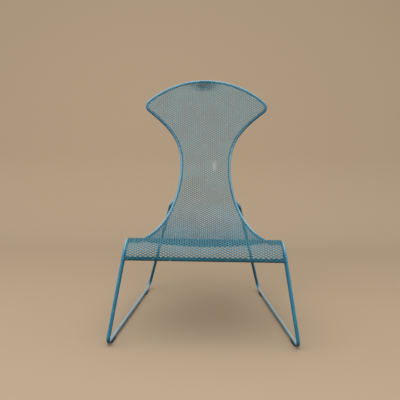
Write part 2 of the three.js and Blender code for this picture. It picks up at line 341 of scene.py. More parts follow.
class SheetForm:
    """The bent sheet through the rods' middles, and the mesh, which lies on the rods on the sitter's side.

    A place on the flat sheet has minus the distance below the crest as its y.
    """

    def __init__(self, shell, mesh_lift):
        self.points = side_profile(shell)
        self.runs = run_lengths(self.points)
        self.length = self.runs[-1]
        self.apron = self.runs[1]
        self.front_bend = shell.front_radius * (math.pi / 2 + shell.seat_slope)
        self.mesh_line = [self.place(0, run - self.length, mesh_lift) for run in self.runs]
        self.mesh_runs = run_lengths(self.mesh_line)

    def stretch(self, flat_y):
        """The stretch of the profile that a place lies on, and how much of it is below the place."""
        run = min(max(self.length + flat_y, 0), self.length)
        i = min(bisect(self.runs, run), len(self.points) - 1)
        return i, (run - self.runs[i - 1]) / (self.runs[i] - self.runs[i - 1])

    def place(self, x, flat_y, lift=0.0):
        """Place on the chair, lifted towards the sitter."""
        i, share = self.stretch(flat_y)
        along = self.points[i] - self.points[i - 1]
        spot = self.points[i - 1] + along * share
        along.normalize()
        return Vector((x, spot.x - along.y * lift, spot.y + along.x * lift))

    def mesh_y(self, flat_y):
        """A place's y on the flat mesh, which is longer round the front bend and shorter round the seat's."""
        i, share = self.stretch(flat_y)
        below, above = self.mesh_runs[i - 1:i + 1]
        return below + (above - below) * share - self.mesh_runs[-1]


def flat_outline(shell, rods, form):
    """Right half of the rim on the flat sheet, from the crest's middle to the apron's foot."""
    ear_x = shell.ear_half_width - shell.ear_radius
    ear_y = math.sqrt((shell.crest_radius - shell.ear_radius) ** 2 - ear_x ** 2) - shell.crest_radius
    crest_end = math.atan2(ear_y + shell.crest_radius, ear_x)
    points = arc(Vector((0, -shell.crest_radius)), shell.crest_radius, math.pi / 2, crest_end, OUTLINE_STEPS)
    points += arc(Vector((ear_x, ear_y)), shell.ear_radius, crest_end, -shell.ear_turn, OUTLINE_STEPS)[1:]
    ear_way = Vector((-math.sin(shell.ear_turn), -math.cos(shell.ear_turn)))
    neck_pull = points[-1] + ear_way * shell.neck_ear_reach
    waist = Vector((shell.waist_half_width, -shell.waist_below))
    above = waist + Vector((0, shell.neck_waist_reach))
    below = waist - Vector((0, shell.flare_waist_reach))
    rail = Vector((shell.seat_half_width, -shell.rail_below))
    rail_pull = rail + Vector((0, shell.flare_rail_reach))
    points += bezier(points[-1], neck_pull, above, waist, OUTLINE_STEPS)[1:]
    points += bezier(waist, below, rail_pull, rail, OUTLINE_STEPS)[1:]
    splay = math.tan(rods.leg_splay)
    bend_foot = form.apron - form.length
    bend_top = Vector((rail.x, bend_foot + form.front_bend))
    bend_pull = Vector((rail.x, bend_foot + form.front_bend / 2))
    bend_end = Vector((rail.x + splay * form.front_bend / 2, bend_foot))
    shares = [i / OUTLINE_STEPS for i in range(OUTLINE_STEPS + 1)]
    points += [bend_top * (1 - t) ** 2 + bend_pull * (2 * t * (1 - t)) + bend_end * t * t for t in shares]
    points.append(Vector((bend_end.x + splay * form.apron, -form.length)))
    return points


class ChairForm:
    """The sheet, its outline and the rods' centre lines for one set of sizes."""

    def __init__(self, settings):
        self.shell, self.rods, self.glides = settings.shell, settings.rods, settings.glides
        self.radius = self.rods.rod_diameter / 2
        self.sheet = SheetForm(self.shell, self.radius + self.rods.weld_gap + settings.mesh.gauge / 2)
        self.outline = flat_outline(self.shell, self.rods, self.sheet)
        self.floor_line = self.glides.rise + self.radius
        # The front legs' plane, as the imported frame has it
        self.shift = Matrix.Translation((0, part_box("left_frame_rod")[0].y + self.radius, 0))

    def rim(self, side):
        """The rim rod's centre line, from the crest's middle to the apron's foot."""
        return [self.sheet.place(side * p.x, p.y) for p in self.outline]

    def seam(self, side):
        """For each point of the rim, the way from the rod's middle to the seam under the mesh's edge, where
        the rod gets painted shade.
        """
        ways = []
        for i, p in enumerate(self.outline):
            a, b = self.outline[max(i - 1, 0)], self.outline[min(i + 1, len(self.outline) - 1)]
            along = (b - a).normalized()
            middle = self.sheet.place(side * p.x, p.y)
            inner = self.sheet.place(
                side * (p.x + along.y * self.radius), p.y - along.x * self.radius, self.radius / 2)
            ways.append((inner - middle).normalized())
        return ways

    def leg_top(self, side, up=0, share=1.0):
        """Where the rear leg meets the rim, beside it and a little behind, or some points up and nearer."""
        waist = 3 * OUTLINE_STEPS
        below = self.rods.leg_top_below
        i = next(i for i in range(waist, len(self.outline)) if -self.outline[i].y >= below) - up
        edge = self.outline[i]
        along = (edge - self.outline[i - 1]).normalized()
        reach = share * (self.rods.rod_diameter + self.rods.weld_gap)
        beside = reach * math.sin(self.rods.leg_tuck)
        behind = reach * math.cos(self.rods.leg_tuck)
        return self.sheet.place(side * (edge.x - beside * along.y), edge.y + beside * along.x, -behind)

    def corners(self, side):
        """Apron's foot, front foot, rear foot and leg's top on one side."""
        foot = self.outline[-1]
        apron_foot = self.sheet.place(side * foot.x, foot.y)
        front = Vector((side * self.leg_x(self.floor_line), 0, self.floor_line))
        rear = Vector((side * self.rods.rear_half_width, self.rods.runner_depth, self.floor_line))
        return apron_foot, front, rear, self.leg_top(side)

    def rod(self, side):
        """Centre line of one side's whole rod: rim, front leg, runner and rear leg."""
        apron_foot, front, rear, top = self.corners(side)
        points = self.rim(side)
        points += round_bend(apron_foot, front, rear, self.rods.floor_radius, FLOOR_BEND_STEPS)
        points += round_bend(front, rear, top, self.rods.floor_radius, FLOOR_BEND_STEPS)
        # The leg's tip turns along the rim and ends in its weld
        tip = self.leg_top(side, TIP_UP, TIP_SHARE)
        bend = round_bend(rear, top, tip, self.rods.tip_radius, FLOOR_BEND_STEPS)
        return points + steps(points[-1], bend[0], LEG_STEPS)[1:] + bend + [tip]

    def bar_line(self):
        """The front bar's centre line, from leg to leg."""
        half = self.leg_x(self.rods.bar_height)
        ends = [Vector((x, 0, self.rods.bar_height)) for x in (-half, half)]
        return steps(ends[0], ends[1], BAR_STEPS) + [ends[1]]

    def leg_x(self, height):
        """How far a front leg's centre line is from the middle at a height below the seat."""
        return self.outline[-1].x + math.tan(self.rods.leg_splay) * (self.shell.apron_foot - height)

    def weld_drops(self):
        """Middles of the drops of weld at the crest's joint, the bar's ends and the rear legs' tops."""
        crest = self.rim(1)[0]
        turns = [2 * math.pi * i / WELD_STEPS for i in range(WELD_STEPS)]
        rounds = [self.radius * Vector((0, math.cos(t), math.sin(t))) for t in turns]
        drops = [Vector((0, crest.y, crest.z)) + r * CREST_WELD for r in rounds]
        for side in SIDES.values():
            for r in rounds:
                height = self.rods.bar_height + r.z
                x = self.leg_x(height) - math.sqrt(max(self.radius ** 2 - r.y ** 2, 0))
                drops.append(Vector((side * x, r.y, height)))
            drops += self.leg_weld(side)
        return drops

    def leg_weld(self, side):
        """Middles of the drops of weld between a rear leg's top and the rim."""
        drops, rim = [], self.rim(side)
        for leg in self.rod(side)[len(rim):]:
            near = min(rim, key=lambda p: (p - leg).length)
            if WELD_REACH[0] < (near - leg).length / self.rods.rod_diameter < WELD_REACH[1]:
                drops.append((near + leg) / 2)
        return drops

    def dirt(self, side):
        """For each point of a rod, its share of painted shade and the way to the side that gets painted
        shade: the mesh's seam on the rim, and the rim and the front at a rear leg's top.
        """
        rim = self.rim(side)
        shares, ways = [0.0] * len(rim), self.seam(side)
        for spot in self.rod(side)[len(rim):]:
            way = min(rim, key=lambda p: (p - spot).length) - spot
            near = way.length < LEG_SHADE_REACH * self.rods.rod_diameter
            # Only the rear leg's top gets the painted shade
            shares.append(LEG_SHADE if near else 0.0)
            ways.append((way.normalized() + Vector((0, -1, 0))).normalized() if near else Vector())
        return shares, ways

    def glide_line(self, side, at_rear):
        """Points along one glide, on its runner's centre line beside the bend."""
        apron_foot, front, rear, top = self.corners(side)
        leg, foot, runner = (top, rear, front) if at_rear else (apron_foot, front, rear)
        bend = round_bend(leg, foot, runner, self.rods.floor_radius, 1)[-1]
        ahead = (runner - foot).normalized()
        return [bend + ahead * (self.glides.bend_space + self.glides.span * share) for share in GLIDE_SHARES]

    def glide_section(self):
        """Section of a glide round its runner's centre: a foot and two lips that clip round the rod."""
        floor, lip = -self.floor_line, self.glides.lip - self.floor_line
        half, wall = self.glides.width / 2, self.glides.wall
        lip_x = math.sqrt(self.radius ** 2 - lip ** 2)
        dip = math.atan2(lip, lip_x)
        groove = arc(Vector((0, 0)), self.radius, dip, -math.pi - dip, WELD_STEPS)
        right = [
            (half - wall / 2, floor), (half, floor + wall / 2),
            (lip_x + wall, lip - wall), (lip_x + wall / 2, lip)]
        left = [(-x, y) for x, y in reversed(right)]
        # The sweep turns its section over, so this one is upside down
        return [Vector((-x, -y, 0)) for x, y in left + right] + [Vector((-p.x, -p.y, 0)) for p in groove]


# Helpers for node trees and pieces

def add_node(tree, kind, inputs=None, **settings):
    """Adds a node with its settings, and fills its inputs with values or with other nodes' outputs."""
    node = tree.nodes.new(kind)
    for name, value in settings.items():
        setattr(node, name, value)
    for key, given in (inputs or {}).items():
        for value in given if isinstance(given, list) else [given]:
            if isinstance(value, bpy.types.Node):
                value = next(socket for socket in value.outputs if socket.enabled)
            if isinstance(value, bpy.types.NodeSocket):
                tree.links.new(value, node.inputs[key])
            else:
                node.inputs[key].default_value = value
    return node


def new_tree(name, inputs):
    """A geometry node tree with named inputs, what adds nodes to it, and what it is given."""
    tree = bpy.data.node_groups.new(name, "GeometryNodeTree")
    for label, kind in {"Geometry": "Geometry", **inputs}.items():
        tree.interface.new_socket(label, in_out="INPUT", socket_type=f"NodeSocket{kind}")
    tree.interface.new_socket("Geometry", in_out="OUTPUT", socket_type="NodeSocketGeometry")
    add = partial(add_node, tree)
    return tree, add, add("NodeGroupInput").outputs


def end_tree(add, geometry, material):
    """Ends a tree with plain geometry in its material."""
    plain = add("GeometryNodeRealizeInstances", {"Geometry": geometry})
    painted = add("GeometryNodeSetMaterial", {"Geometry": plain, "Material": material})
    add("NodeGroupOutput", {"Geometry": painted})


def sweep_along(add, line, section):
    """A section swept along a line, whose points say how much of the section they have."""
    taper = add("GeometryNodeInputNamedAttribute", {"Name": "taper"}, data_type="FLOAT")
    return add("GeometryNodeCurveToMesh", {
        "Curve": line, "Profile Curve": section, "Scale": taper.outputs["Attribute"], "Fill Caps": True})


def distance(add, place, middle, size):
    """How far a place is from the middle of a patch, in sizes of the patch."""
    off = add("ShaderNodeVectorMath", {0: place, 1: middle}, operation="SUBTRACT")
    off = add("ShaderNodeVectorMath", {0: off, 1: size}, operation="DIVIDE")
    return add("ShaderNodeVectorMath", {0: off}, operation="LENGTH")


def make_object(name, points, edges=(), faces=()):
    """An object of a plain mesh."""
    mesh = bpy.data.meshes.new(name)
    mesh.from_pydata([tuple(p) for p in points], edges, faces)
    made = bpy.data.objects.new(name, mesh)
    bpy.context.scene.collection.objects.link(made)
    return made


def make_line(name, points, **values):
    """An object of a line of points, with named numbers or directions on the points."""
    made = make_object(name, points, [(i, i + 1) for i in range(len(points) - 1)])
    for key, items in values.items():
        if isinstance(items[0], Vector):
            flat = [part for item in items for part in item]
            made.data.attributes.new(key, "FLOAT_VECTOR", "POINT").data.foreach_set("vector", flat)
        else:
            made.data.attributes.new(key, "FLOAT", "POINT").data.foreach_set("value", items)
    return made


def run_tree(made, tree, values):
    """Turns an object's mesh into what a node tree makes of it."""
    modifier = made.modifiers.new(tree.name, "NODES")
    modifier.node_group = tree
    for item in tree.interface.items_tree:
        if item.in_out == "INPUT" and item.name in values:
            modifier[item.identifier] = values[item.name]
    evaluated = made.evaluated_get(bpy.context.evaluated_depsgraph_get())
    mesh = bpy.data.meshes.new_from_object(evaluated)
    made.modifiers.clear()
    made.data = mesh
    if not mesh.polygons:
        raise RuntimeError(f"{made.name} came out empty")


def seat_piece(made, form, slot, *nodes):
    """Puts a finished piece in its place on the frame."""
    made.data.transform(form.shift)
    made.data.update()
    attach(made, BODY)
    if nodes:
        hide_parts(*nodes)


# Node trees

def rod_tree():
    """A round rod along a line of points, with the rod's own taper at its ends."""
    tree, add, given = new_tree("Round rod", {"Radius": "Float", "Sides": "Int", "Material": "Material"})
    line = add("GeometryNodeMeshToCurve", {"Mesh": given["Geometry"]})
    ring = add("GeometryNodeCurvePrimitiveCircle", {"Resolution": given["Sides"], "Radius": given["Radius"]})
    rod = add("GeometryNodeSetShadeSmooth", {"Geometry": sweep_along(add, line, ring)})
    end_tree(add, rod, given["Material"])
    return tree


def mesh_tree():
    """Expanded metal: staggered diamonds, cut to the outline, thickened and bent along the profile."""
    tree, add, given = new_tree("Expanded metal", {
        "Profile": "Object", "Columns": "Int", "Rows": "Int",
        "Long way": "Float", "Short way": "Float", "Strand": "Float",
        "Gauge": "Float", "Rise": "Float", "Sag": "Float",
        "Sag from": "Float", "Sag to": "Float", "Length": "Float",
        "Clog": "Float", "Clog middle": "Vector", "Clog size": "Vector",
        "Material": "Material"})
    lattice = mesh_lattice(add, given, mesh_diamond(add, given))
    cut = mesh_cut(add, given, mesh_clog(add, given, lattice))
    solid = mesh_solid(add, given, cut)
    end_tree(add, mesh_bend(add, given, solid), given["Material"])
    return tree


def mesh_diamond(add, given):
    """One flat diamond: four strands round an opening, and how far each corner is to be lifted or clogged."""
    half_long = add("ShaderNodeMath", {0: given["Long way"], 1: 0.5}, operation="MULTIPLY")
    half_short = add("ShaderNodeMath", {0: given["Short way"], 1: 0.5}, operation="MULTIPLY")
    scale = add("ShaderNodeCombineXYZ", {"X": half_long, "Y": half_short, "Z": 1.0})
    edge = add("GeometryNodeMeshCircle", {"Vertices": 4, "Radius": 1.0}, fill_type="NONE")
    edge = add("GeometryNodeTransform", {"Geometry": edge, "Scale": scale})
    place = add("GeometryNodeInputPosition")
    share = add("ShaderNodeMath", {0: given["Strand"], 1: half_long}, operation="DIVIDE")
    # An extruded edge takes its offset at its middle, which is half of what its corners need
    inward = add("ShaderNodeMath", {0: share, 1: -2.0}, operation="MULTIPLY")
    offset = add("ShaderNodeVectorMath", {0: place, "Scale": inward}, operation="SCALE")
    ring = add("GeometryNodeExtrudeMesh", {"Mesh": edge, "Offset": offset, "Offset Scale": 1.0}, mode="EDGES")
    height = add("ShaderNodeSeparateXYZ", {0: place})
    way = add("ShaderNodeMath", {0: height.outputs["Y"], 1: half_short}, operation="DIVIDE")
    rise = add("ShaderNodeMath", {0: way, 1: given["Rise"]}, operation="MULTIPLY")
    lift = add("GeometryNodeSwitch", {
        "Switch": ring.outputs["Top"], "False": 0.0, "True": rise}, input_type="FLOAT")
    diamond = add("GeometryNodeStoreNamedAttribute", {
        "Geometry": ring.outputs["Mesh"], "Name": "lift", "Value": lift}, data_type="FLOAT", domain="POINT")
    middle = add("ShaderNodeVectorMath", {0: place, "Scale": -1.0}, operation="SCALE")
    inward = add("GeometryNodeSwitch", {
        "Switch": ring.outputs["Top"], "False": (0, 0, 0), "True": middle}, input_type="VECTOR")
    return add("GeometryNodeStoreNamedAttribute", {
        "Geometry": diamond, "Name": "inward", "Value": inward}, data_type="FLOAT_VECTOR", domain="POINT")


def mesh_lattice(add, given, diamond):
    """Diamonds on two grids, half a diamond apart both ways, joined at their edges."""
    sizes, counts = [], []
    for count, way in (("Columns", "Long way"), ("Rows", "Short way")):
        sizes.append(add("ShaderNodeMath", {0: given[count], 1: given[way]}, operation="MULTIPLY"))
        counts.append(add("ShaderNodeMath", {0: given[count], 1: 1.0}, operation="ADD"))
    grid = add("GeometryNodeMeshGrid", {
        "Size X": sizes[0], "Size Y": sizes[1], "Vertices X": counts[0], "Vertices Y": counts[1]})
    middle = add("ShaderNodeMath", {0: sizes[1], 1: -0.5}, operation="MULTIPLY")
    place = add("ShaderNodeCombineXYZ", {"Y": middle})
    first = add("GeometryNodeTransform", {"Geometry": grid, "Translation": place})
    pitch = add("ShaderNodeCombineXYZ", {"X": given["Long way"], "Y": given["Short way"]})
    stagger = add("ShaderNodeVectorMath", {0: pitch, "Scale": 0.5}, operation="SCALE")
    second = add("GeometryNodeTransform", {"Geometry": first, "Translation": stagger})
    points = add("GeometryNodeJoinGeometry", {"Geometry": [first, second]})
    copies = add("GeometryNodeInstanceOnPoints", {"Points": points, "Instance": diamond})
    plain = add("GeometryNodeRealizeInstances", {"Geometry": copies})
    return add("GeometryNodeMergeByDistance", {"Geometry": plain, "Distance": SAME_POINT})


def mesh_clog(add, given, lattice):
    """The lattice with its openings partly closed by dirt in one ragged patch."""
    place = add("GeometryNodeInputPosition")
    off = distance(add, place, given["Clog middle"], given["Clog size"])
    blots = add("ShaderNodeTexNoise", {"Vector": place, "Scale": 1 / CLOG_SIZE})
    ragged = add("ShaderNodeMath", {0: blots, 1: CLOG_RAGGED, 2: off}, operation="MULTIPLY_ADD")
    share = add("ShaderNodeMapRange", {
        "Value": ragged, "From Min": CLOG_EDGE[0], "From Max": CLOG_EDGE[1], "To Max": given["Clog"]})
    inward = add("GeometryNodeInputNamedAttribute", {"Name": "inward"}, data_type="FLOAT_VECTOR")
    offset = add("ShaderNodeVectorMath", {
        0: inward.outputs["Attribute"], "Scale": share}, operation="SCALE")
    return add("GeometryNodeSetPosition", {"Geometry": lattice, "Offset": offset})


def mesh_cut(add, given, lattice):
    """The lattice cut to the outline: strands outside or along it go, and ends that stick out are trimmed."""
    place = add("GeometryNodeInputPosition")
    # A place is inside if a ray up to it from a metre below meets the outline's face
    under = add("ShaderNodeVectorMath", {0: place, 1: (0, 0, -1)}, operation="ADD")
    inside = add("GeometryNodeRaycast", {
        "Target Geometry": given["Geometry"], "Source Position": under,
        "Ray Direction": (0, 0, 1), "Ray Length": 2.0})
    outside = add("FunctionNodeBooleanMath", {0: inside.outputs["Is Hit"]}, operation="NOT")
    rim = add("GeometryNodeProximity", {"Geometry": given["Geometry"]}, target_element="EDGES")
    near = add("ShaderNodeMath", {0: rim.outputs["Distance"], 1: given["Gauge"]}, operation="LESS_THAN")
    gone = add("FunctionNodeBooleanMath", {0: outside, 1: near}, operation="OR")
    kept = add("GeometryNodeDeleteGeometry", {"Geometry": lattice, "Selection": gone}, domain="FACE")
    return add("GeometryNodeSetPosition", {
        "Geometry": kept, "Selection": outside, "Position": rim.outputs["Position"]})


def mesh_solid(add, given, flat):
    """The flat strands with the sheet's thickness, tilted as slitting and stretching leaves them."""
    up = add("ShaderNodeCombineXYZ", {"Z": given["Gauge"]})
    # The flat strands face down, so they are the underside, and what is raised from them is turned over
    top = add("GeometryNodeFlipFaces", {"Mesh": flat})
    walls = add("GeometryNodeExtrudeMesh", {
        "Mesh": top, "Offset": up, "Offset Scale": 1.0, "Individual": False}, mode="FACES")
    both = add("GeometryNodeJoinGeometry", {"Geometry": [walls, flat]})
    solid = add("GeometryNodeMergeByDistance", {"Geometry": both, "Distance": SAME_POINT})
    lift = add("GeometryNodeInputNamedAttribute", {"Name": "lift"}, data_type="FLOAT")
    half = add("ShaderNodeMath", {0: given["Gauge"], 1: -0.5}, operation="MULTIPLY")
    height = add("ShaderNodeMath", {0: lift.outputs["Attribute"], 1: half}, operation="ADD")
    offset = add("ShaderNodeCombineXYZ", {"Z": height})
    return add("GeometryNodeSetPosition", {"Geometry": solid, "Offset": offset})


def mesh_sag(add, given, place):
    """How far the sheet hangs at a place: most in the middle of the seat, and nothing at the rim."""
    parts = add("ShaderNodeSeparateXYZ", {0: place})
    share = add("ShaderNodeMapRange", {
        "Value": parts.outputs["Y"], "From Min": given["Sag from"], "From Max": given["Sag to"],
        "To Max": math.pi})
    wave = add("ShaderNodeMath", {0: share}, operation="SINE")
    hump = add("ShaderNodeMath", {0: wave, 1: 2.0}, operation="POWER")
    flat = add("ShaderNodeCombineXYZ", {"X": parts.outputs["X"], "Y": parts.outputs["Y"]})
    rim = add("GeometryNodeProximity", {
        "Geometry": given["Geometry"], "Sample Position": flat}, target_element="EDGES")
    off = add("ShaderNodeMath", {0: parts.outputs["X"]}, operation="ABSOLUTE")
    width = add("ShaderNodeMath", {0: off, 1: rim.outputs["Distance"]}, operation="ADD")
    across = add("ShaderNodeMath", {0: off, 1: width}, operation="DIVIDE")
    across = add("ShaderNodeMath", {0: across, 1: 2.0}, operation="POWER")
    inner = add("ShaderNodeMath", {0: 1.0, 1: across}, operation="SUBTRACT")
    depth = add("ShaderNodeMath", {0: hump, 1: inner}, operation="MULTIPLY")
    return add("ShaderNodeMath", {0: depth, 1: given["Sag"]}, operation="MULTIPLY")


def mesh_bend(add, given, solid):
    """The flat sheet bent along the profile, with its sag."""
    place = add("GeometryNodeInputPosition")
    parts = add("ShaderNodeSeparateXYZ", {0: place})
    line = add("GeometryNodeObjectInfo", {"Object": given["Profile"]})
    line = add("GeometryNodeMeshToCurve", {"Mesh": line.outputs["Geometry"]})
    run = add("ShaderNodeMath", {0: given["Length"], 1: parts.outputs["Y"]}, operation="ADD")
    spot = add("GeometryNodeSampleCurve", {"Curves": line, "Length": run}, mode="LENGTH", use_all_curves=True)
    along = add("ShaderNodeSeparateXYZ", {0: spot.outputs["Tangent"]})
    back = add("ShaderNodeMath", {0: along.outputs["Z"], 1: -1.0}, operation="MULTIPLY")
    facing = add("ShaderNodeCombineXYZ", {"Y": back, "Z": along.outputs["Y"]})
    sag = mesh_sag(add, given, place)
    lift = add("ShaderNodeMath", {0: parts.outputs["Z"], 1: sag}, operation="SUBTRACT")
    raised = add("ShaderNodeVectorMath", {0: facing, "Scale": lift}, operation="SCALE")
    across = add("ShaderNodeCombineXYZ", {"X": parts.outputs["X"]})
    middle = add("ShaderNodeVectorMath", {0: spot.outputs["Position"], 1: across}, operation="ADD")
    bent = add("ShaderNodeVectorMath", {0: middle, 1: raised}, operation="ADD")
    return add("GeometryNodeSetPosition", {"Geometry": solid, "Position": bent})


def glide_tree():
    """A moulded glide: a section swept along a line of points."""
    tree, add, given = new_tree("Glide", {"Section": "Object", "Material": "Material"})
    line = add("GeometryNodeMeshToCurve", {"Mesh": given["Geometry"]})
    line = add("GeometryNodeSetCurveNormal", {"Curve": line}, mode="Z_UP")
    section = add("GeometryNodeObjectInfo", {"Object": given["Section"]})
    section = add("GeometryNodeMeshToCurve", {"Mesh": section.outputs["Geometry"]})
    end_tree(add, sweep_along(add, line, section), given["Material"])
    return tree


def weld_tree():
    """A weld: overlapping drops of metal along a line of points, run together into one skin."""
    tree, add, given = new_tree("Weld", {"Drop": "Float", "Seed": "Int", "Material": "Material"})
    drop = add("GeometryNodeMeshIcoSphere", {"Radius": given["Drop"], "Subdivisions": 2})
    size = add("FunctionNodeRandomValue", {
        2: DROP_SHARES[0], 3: DROP_SHARES[1], "Seed": given["Seed"]}, data_type="FLOAT")
    turn = add("FunctionNodeRandomValue", {
        0: (0, 0, 0), 1: (DROP_TURN, DROP_TURN, DROP_TURN), "Seed": given["Seed"]}, data_type="FLOAT_VECTOR")
    drops = add("GeometryNodeInstanceOnPoints", {
        "Points": given["Geometry"], "Instance": drop, "Rotation": turn.outputs[0], "Scale": size.outputs[1]})
    plain = add("GeometryNodeRealizeInstances", {"Geometry": drops})
    skin = add("GeometryNodeMeshBoolean", {
        "Mesh": plain, "Self Intersection": True}, operation="UNION", solver="EXACT")
    skin = add("GeometryNodeSetShadeSmooth", {"Geometry": skin.outputs["Mesh"]})
    end_tree(add, skin, given["Material"])
    return tree


# Materials

def new_material(name):
    """An empty node material, and what adds nodes to it."""
    material = bpy.data.materials.new(name)
    material.use_nodes = True
    material.node_tree.nodes.clear()
    return material, partial(add_node, material.node_tree)


def weathered_enamel(name, colours, paints, painted_light_share, chalky, under, reach, marks=()):
    """Brushed enamel on steel after years outdoors, dull and chipped, with painted light and shade on it.

    The paints are the sound, the deep and the bleached one; the bleached one is paler paint for painted light
    above the seat. Faces that look up get chalky paint, partly a painted highlight, and faces that look down
    get painted shade. A mark has a middle, size, colour and share.
    """
    paint, deep, bleached = paints
    material, add = new_material(name)
    place = add("ShaderNodeTexCoord")
    at = place.outputs["Object"]
    patches = add("ShaderNodeTexNoise", {"Vector": at, "Scale": 1 / PATCH_SIZE, "Detail": 3.0})
    blots = add("ShaderNodeTexNoise", {"Vector": at, "Scale": 1 / BLOT_SIZE, "Detail": 5.0})
    grit = add("ShaderNodeTexNoise", {"Vector": at, "Scale": 1 / GRIT_SIZE, "Detail": 2.0})
    flakes = add("ShaderNodeTexNoise", {
        "Vector": at, "Scale": 1 / FLAKE_SIZE, "Detail": 6.0, "Roughness": 0.62})
    facing = add("ShaderNodeSeparateXYZ", {0: place.outputs["Normal"]})
    height = add("ShaderNodeSeparateXYZ", {0: at})
    soot = add("ShaderNodeAttribute", attribute_name="soot")
    seam = add("ShaderNodeAttribute", attribute_name="seam")
    seam = add("ShaderNodeVectorMath", {
        0: seam.outputs["Vector"], 1: place.outputs["Normal"]}, operation="DOT_PRODUCT")
    up = add("ShaderNodeMath", {0: blots, 1: 0.9, 2: facing.outputs["Z"]}, operation="MULTIPLY_ADD")
    # The chalk mask, which also stands for a painted highlight on faces that look up
    chalk_and_highlight = add("ShaderNodeMapRange", {
        "Value": up, "From Min": 0.75, "From Max": 1.6, "To Max": chalky}, interpolation_type="SMOOTHSTEP")
    # Painted shade: faces that look down are darkened, and above the waist the darkening reaches further
    # round the rods
    further = add("ShaderNodeMapRange", {
        "Value": height.outputs["Z"], "From Min": SHADE_HEIGHTS[0], "From Max": SHADE_HEIGHTS[1],
        "To Max": -reach})
    down = add("ShaderNodeMath", {0: facing.outputs["Z"], 1: further}, operation="ADD")
    low = add("ShaderNodeMapRange", {
        "Value": height.outputs["Z"], "From Min": DUST_HEIGHTS[0], "From Max": DUST_HEIGHTS[1]})
    dusty = add("ShaderNodeMath", {0: up, 1: low}, operation="MULTIPLY")
    bare = add("ShaderNodeMapRange", {"Value": flakes, "From Min": 0.668, "From Max": 0.683})
    # Each coat lies over the one before. It has a value, where that starts and is full, a share and a colour.
    coats = [
        (patches.outputs["Fac"], 0.35, 0.65, 1.0, deep),
        # Painted light: paler paint from the seat's height up, which goes back to the deep paint above the
        # waist
        (height.outputs["Z"], *PAINTED_LIGHT_HEIGHTS, painted_light_share, bleached),
        (height.outputs["Z"], *SHADE_HEIGHTS, painted_light_share, deep),
        # Painted shade on faces that look down
        (down.outputs[0], *under, 0.95, colours.shaded),
        # Chalky paint on faces that look up: partly real chalking, partly a painted highlight
        (chalk_and_highlight.outputs["Result"], 0.0, 1.0, 1.0, colours.chalk_and_highlight),
        # Painted shade on the side of a rod towards the mesh's seam, towards the rim at a rear leg's top and
        # towards the apron on the bar
        (seam.outputs["Value"], 0.35, 0.75, 0.50, colours.shaded),
        (blots.outputs["Fac"], 0.55, 0.75, 0.30, colours.grime),
        (dusty.outputs[0], 0.55, 1.55, 0.60, colours.dust),
        # Painted shade on the bar and round the rear legs' tops
        (soot.outputs["Fac"], 0.0, 1.0, 0.9, colours.soot),
        (flakes.outputs["Fac"], 0.645, 0.660, 1.0, colours.old_coat),
        (bare.outputs["Result"], 0.0, 1.0, 1.0, colours.rust)]
    for middle, size, tint, most in marks:
        off = distance(add, at, middle, size)
        ragged = add("ShaderNodeMath", {0: blots, 1: MARK_RAGGED, 2: off}, operation="MULTIPLY_ADD")
        coats.append((ragged.outputs[0], *MARK_EDGE, most, tint))
    base = (*paint, 1)
    for value, start, full, most, tint in coats:
        share = add("ShaderNodeMapRange", {
            "Value": value, "From Min": start, "From Max": full, "To Max": most})
        base = add("ShaderNodeMix", {0: share, 6: base, 7: (*tint, 1)}, data_type="RGBA").outputs[2]
    rough = add("ShaderNodeMapRange", {"Value": chalk_and_highlight, "To Min": 0.40, "To Max": 0.75})
    rough = add("ShaderNodeMath", {0: bare, 1: 0.4, 2: rough}, operation="MULTIPLY_ADD")
    sunk = add("ShaderNodeMath", {0: bare, 1: -1.5, 2: grit}, operation="MULTIPLY_ADD")
    bump = add("ShaderNodeBump", {"Height": sunk, "Strength": 0.35, "Distance": 0.0003})
    shader = add("ShaderNodeBsdfPrincipled", {
        "Base Color": base, "Roughness": rough, "Normal": bump, "IOR": 1.5, "Specular IOR Level": 0.3})
    add("ShaderNodeOutputMaterial", {"Surface": shader})
    return material


def moulded_rubber(name, colours):
    """Moulded rubber: black, matt, with a fine grain and dry dust on it."""
    material, add = new_material(name)
    at = add("ShaderNodeTexCoord").outputs["Object"]
    dust = add("ShaderNodeTexNoise", {"Vector": at, "Scale": 1 / DUST_SIZE, "Detail": 5.0})
    grain = add("ShaderNodeTexNoise", {"Vector": at, "Scale": 1 / GRAIN_SIZE, "Detail": 2.0})
    share = add("ShaderNodeMapRange", {
        "Value": dust.outputs["Fac"], "From Min": 0.45, "From Max": 0.80, "To Max": 0.14})
    base = add("ShaderNodeMix", {
        0: share, 6: (*colours.rubber, 1), 7: (*colours.dust, 1)}, data_type="RGBA")
    bump = add("ShaderNodeBump", {"Height": grain.outputs["Fac"], "Strength": 0.3, "Distance": 0.0002})
    shader = add("ShaderNodeBsdfPrincipled", {
        "Base Color": base.outputs[2], "Roughness": 0.78, "Normal": bump, "IOR": 1.52})
    add("ShaderNodeOutputMaterial", {"Surface": shader})
    return material


# Operators: one for each piece or group of like pieces, and one for the stage

